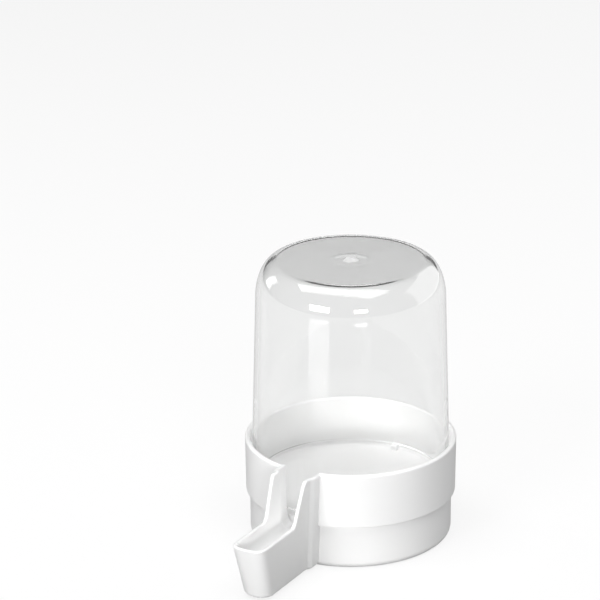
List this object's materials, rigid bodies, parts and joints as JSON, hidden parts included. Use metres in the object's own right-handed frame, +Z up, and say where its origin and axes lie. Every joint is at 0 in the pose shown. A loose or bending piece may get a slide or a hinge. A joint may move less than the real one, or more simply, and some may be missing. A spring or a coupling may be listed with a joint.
{
  "type": "bird drinker",
  "caption": "Siphon bird drinker: clear inverted tank standing in a white collar cup with a hollow foot and a long open drinking spout; the tank lifts out for filling.",
  "frame": {"origin": "on the standing surface, under the centre of the drinker's bounding box; the collar's axis is at y = +17.1 mm", "axes": "+Z up along the collar's axis, -Y along the spout towards its lip, +X across the spout"},
  "size_m": [0.07, 0.1042, 0.0946],
  "materials": {
    "white_plastic": "smooth moulded, semi-gloss",
    "clear_plastic": "clear polished moulding"
  },
  "bodies": {
    "base": {"base": "white_plastic"},
    "tank": {"tank": "clear_plastic"}
  },
  "joints": [
    {"name": "tank_lift", "type": "slide", "parent": "base", "child": "tank", "axis": [0, 0, 1], "range_m": [0, 0.04]}
  ]
}
